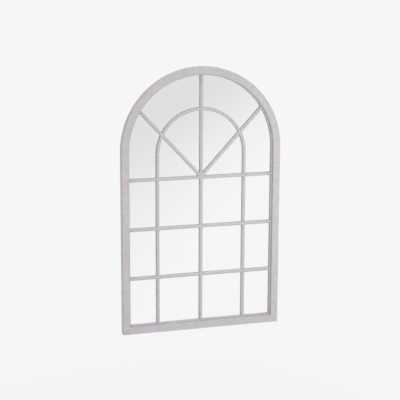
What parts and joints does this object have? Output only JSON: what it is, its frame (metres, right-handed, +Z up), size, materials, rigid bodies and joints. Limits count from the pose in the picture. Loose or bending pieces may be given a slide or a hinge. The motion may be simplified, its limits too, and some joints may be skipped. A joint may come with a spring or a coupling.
{
  "type": "arched window mirror",
  "caption": "Wall mirror in a painted steel frame with a round-arched head, and glazing bars like a window's over one pane.",
  "frame": {"origin": "middle of the bottom rail's underside", "axes": "+X to the right seen from the room, +Y from the room into the wall, +Z up"},
  "size_m": [0.8, 0.042, 1.2999],
  "materials": {
    "grey_paint": "satin powder coat",
    "mirror_glass": "polished",
    "board": "pressed fibre board",
    "zinc_steel": "zinc plated",
    "rubber": "matte"
  },
  "bodies": {
    "frame": {"left_stile": "grey_paint", "right_stile": "grey_paint", "bottom_rail": "grey_paint", "arch_head": "grey_paint", "left_bead": "grey_paint", "right_bead": "grey_paint", "bottom_bead": "grey_paint", "arch_bead": "grey_paint", "centre_bar": "grey_paint", "left_bar": "grey_paint", "right_bar": "grey_paint", "lower_cross_bar": "grey_paint", "middle_cross_bar": "grey_paint", "upper_cross_bar": "grey_paint", "inner_arch": "grey_paint", "left_diagonal": "grey_paint", "right_diagonal": "grey_paint", "mirror_pane": "mirror_glass", "setting_pads": "rubber", "backing_board": "board", "button_screws": "zinc_steel", "left_hanger_strap": "zinc_steel", "right_hanger_strap": "zinc_steel", "hanger_screws": "zinc_steel", "wall_bumpers": "rubber"},
    "left_ring": {"left_hanger_ring": "zinc_steel"},
    "right_ring": {"right_hanger_ring": "zinc_steel"},
    "lower_left_button": {"lower_left_button": "zinc_steel"},
    "upper_left_button": {"upper_left_button": "zinc_steel"},
    "lower_right_button": {"lower_right_button": "zinc_steel"},
    "upper_right_button": {"upper_right_button": "zinc_steel"},
    "left_arch_button": {"left_arch_button": "zinc_steel"},
    "right_arch_button": {"right_arch_button": "zinc_steel"},
    "left_rail_button": {"left_rail_button": "zinc_steel"},
    "right_rail_button": {"right_rail_button": "zinc_steel"}
  },
  "joints": [
    {"name": "left_ring_swing", "type": "hinge", "parent": "frame", "child": "left_ring", "pos_m": [-0.3825, 0.021, 0.85], "axis": [1, 0, 0], "range_deg": [0, 180]},
    {"name": "right_ring_swing", "type": "hinge", "parent": "frame", "child": "right_ring", "pos_m": [0.3825, 0.021, 0.85], "axis": [1, 0, 0], "range_deg": [0, 180]},
    {"name": "lower_left_button_turn", "type": "hinge", "parent": "frame", "child": "lower_left_button", "pos_m": [-0.3825, 0.0189, 0.2], "axis": [0, 1, 0], "range_deg": [-90, 90]},
    {"name": "upper_left_button_turn", "type": "hinge", "parent": "frame", "child": "upper_left_button", "pos_m": [-0.3825, 0.0189, 0.62], "axis": [0, 1, 0], "range_deg": [-90, 90]},
    {"name": "lower_right_button_turn", "type": "hinge", "parent": "frame", "child": "lower_right_button", "pos_m": [0.3825, 0.0189, 0.2], "axis": [0, 1, 0], "range_deg": [-90, 90]},
    {"name": "upper_right_button_turn", "type": "hinge", "parent": "frame", "child": "upper_right_button", "pos_m": [0.3825, 0.0189, 0.62], "axis": [0, 1, 0], "range_deg": [-90, 90]},
    {"name": "left_arch_button_turn", "type": "hinge", "parent": "frame", "child": "left_arch_button", "pos_m": [-0.21939, 0.0189, 1.21333], "axis": [0, 1, 0], "range_deg": [-90, 90]},
    {"name": "right_arch_button_turn", "type": "hinge", "parent": "frame", "child": "right_arch_button", "pos_m": [0.21939, 0.0189, 1.21333], "axis": [0, 1, 0], "range_deg": [-90, 90]},
    {"name": "left_rail_button_turn", "type": "hinge", "parent": "frame", "child": "left_rail_button", "pos_m": [-0.19, 0.0189, 0.0175], "axis": [0, 1, 0], "range_deg": [-90, 90]},
    {"name": "right_rail_button_turn", "type": "hinge", "parent": "frame", "child": "right_rail_button", "pos_m": [0.19, 0.0189, 0.0175], "axis": [0, 1, 0], "range_deg": [-90, 90]}
  ]
}
